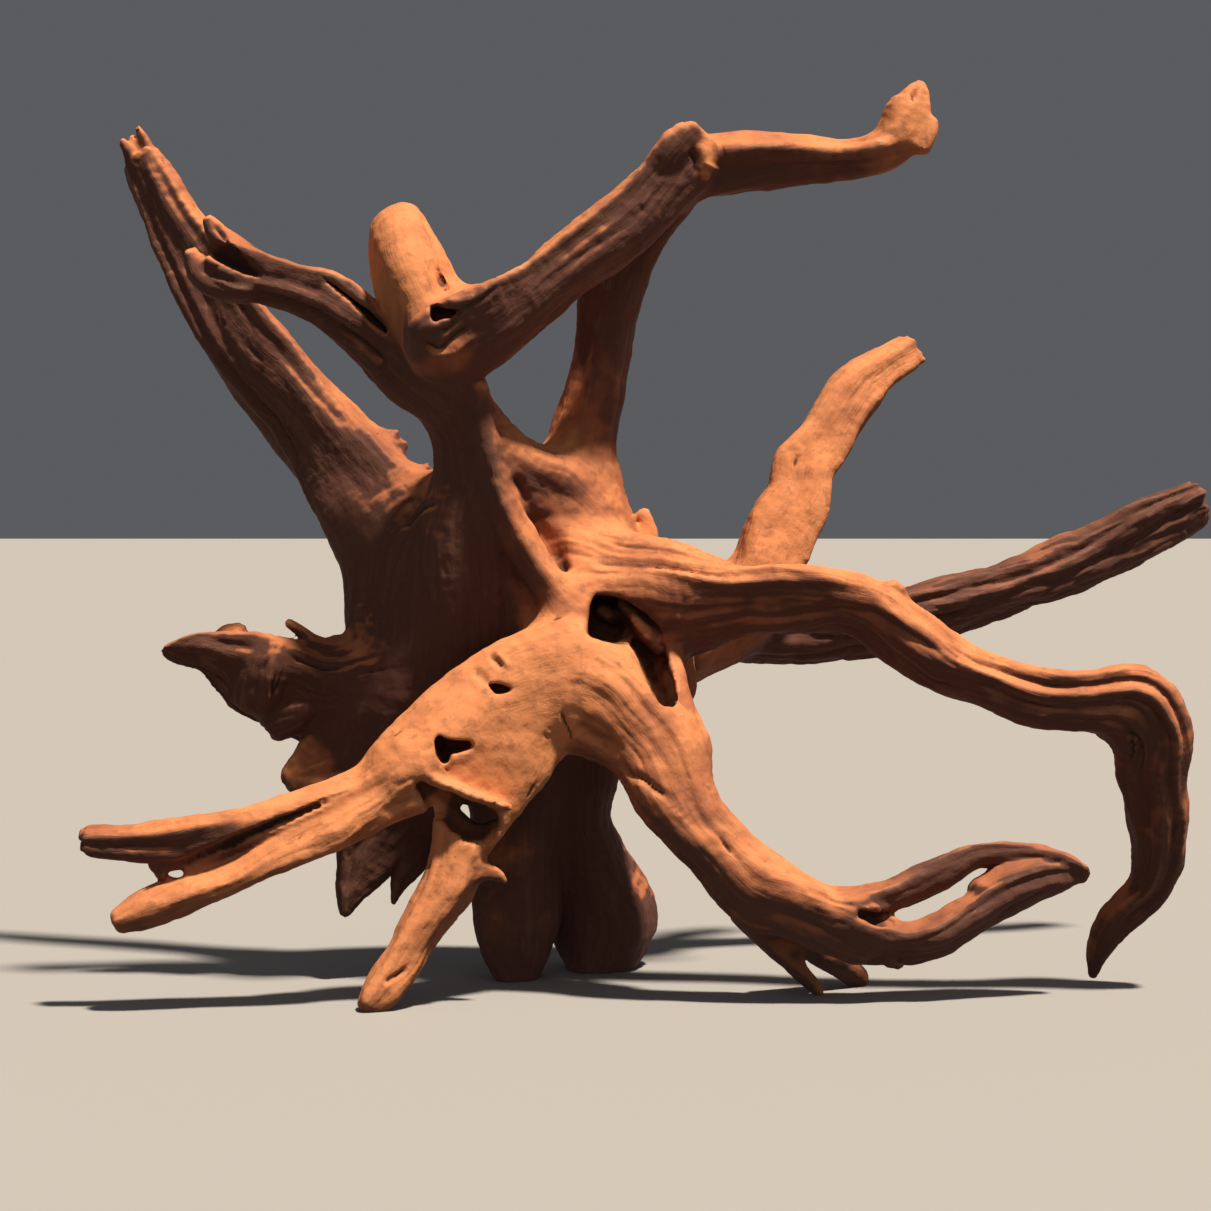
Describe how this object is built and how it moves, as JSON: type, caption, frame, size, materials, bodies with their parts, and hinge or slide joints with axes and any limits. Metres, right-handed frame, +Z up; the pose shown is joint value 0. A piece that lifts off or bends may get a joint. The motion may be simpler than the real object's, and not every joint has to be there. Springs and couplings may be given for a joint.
{
  "type": "spider wood",
  "caption": "Large branching driftwood root with a heavy crown, hooked and forked limbs and splintered ends, standing by itself on its feet.",
  "frame": {"origin": "the middle of the whole piece's bounding box, on the surface that its feet stand on", "axes": "+X to the right along the longest spread of the roots, +Y to the back, +Z up"},
  "size_m": [0.6982, 0.3373, 0.5376],
  "materials": {
    "smooth_wood": "bare root wood, worn smooth, warm orange-brown with long grain and fine dark cracks",
    "grooved_wood": "bare root wood with deep lengthwise furrows, red-brown with paler ridges",
    "torn_wood": "broken and splintered root wood, dark, matte and fibrous"
  },
  "bodies": {
    "root": {"crown": "smooth_wood", "front_plate": "smooth_wood", "left_post": "smooth_wood", "knob": "smooth_wood", "beam": "grooved_wood", "left_arm": "grooved_wood", "middle_post": "smooth_wood", "top_branch": "smooth_wood", "upper_left_root": "grooved_wood", "far_right_root": "grooved_wood", "upper_right_root": "grooved_wood", "right_arm": "grooved_wood", "right_leg": "smooth_wood", "lower_finger": "smooth_wood", "upper_finger": "smooth_wood", "front_toe": "smooth_wood", "rear_toe": "smooth_wood", "left_leg": "smooth_wood", "left_leg_prong": "torn_wood", "front_leg": "smooth_wood", "rear_foot": "smooth_wood", "left_spur": "torn_wood", "long_splinter": "torn_wood", "short_splinter": "torn_wood"}
  },
  "joints": []
}
